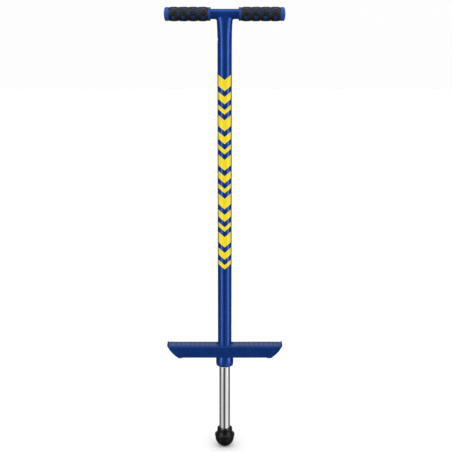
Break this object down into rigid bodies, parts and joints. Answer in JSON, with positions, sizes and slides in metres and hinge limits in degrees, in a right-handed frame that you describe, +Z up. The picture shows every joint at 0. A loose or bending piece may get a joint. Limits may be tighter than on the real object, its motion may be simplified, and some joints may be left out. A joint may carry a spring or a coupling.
{
  "type": "pogo stick",
  "caption": "Spring pogo stick with a T handlebar, lattice grips, a channel footrest with ribbed treads, and a chromed plunger on a rubber tip.",
  "frame": {"origin": "on the ground under the stick's axis, at the middle of the rubber tip's flat", "axes": "+Z up the stick, +X along the handlebar and the footrest, -Y towards the front"},
  "size_m": [0.2674, 0.0468, 1.0191],
  "materials": {
    "frame_enamel": "gloss enamel",
    "grip_blue": "satin",
    "grip_black": "matte",
    "tread_plastic": "satin",
    "bushing_nylon": "satin",
    "chrome": "polished",
    "spring_steel": "oiled",
    "zinc_steel": "zinc plated",
    "tip_rubber": "satin",
    "bumper_rubber": "matte",
    "graphic_vinyl": "gloss"
  },
  "bodies": {
    "frame": {"main_tube": "frame_enamel", "handle_crossbar": "frame_enamel", "footrest_channel": "frame_enamel", "left_end_plate": "frame_enamel", "right_end_plate": "frame_enamel", "lower_collar": "frame_enamel", "left_grip_core": "grip_blue", "right_grip_core": "grip_blue", "left_grip_cover": "grip_black", "right_grip_cover": "grip_black", "left_tread": "tread_plastic", "right_tread": "tread_plastic", "lower_bushing": "bushing_nylon", "collar_set_screws": "zinc_steel", "rebound_bumper": "bumper_rubber", "bumper_washer": "zinc_steel", "spring_stop": "zinc_steel", "tube_graphic": "graphic_vinyl", "main_spring": "spring_steel"},
    "spring_seat": {"spring_seat": "zinc_steel"},
    "plunger": {"plunger_tube": "chrome", "plunger_guide": "bushing_nylon", "guide_pin": "spring_steel", "foot_plug": "zinc_steel", "tip_washer": "zinc_steel", "rubber_tip": "tip_rubber"}
  },
  "joints": [
    {"name": "plunger_slide", "type": "slide", "parent": "frame", "child": "spring_seat", "axis": [0, 0, 1], "range_m": [0, 0.12], "stiffness_N_per_m": 11300, "springref_m": -0.015, "deforming": ["main_spring"]},
    {"name": "plunger_spin", "type": "hinge", "parent": "spring_seat", "child": "plunger", "pos_m": [0, 0, 0.1], "axis": [0, 0, 1], "continuous": true}
  ]
}
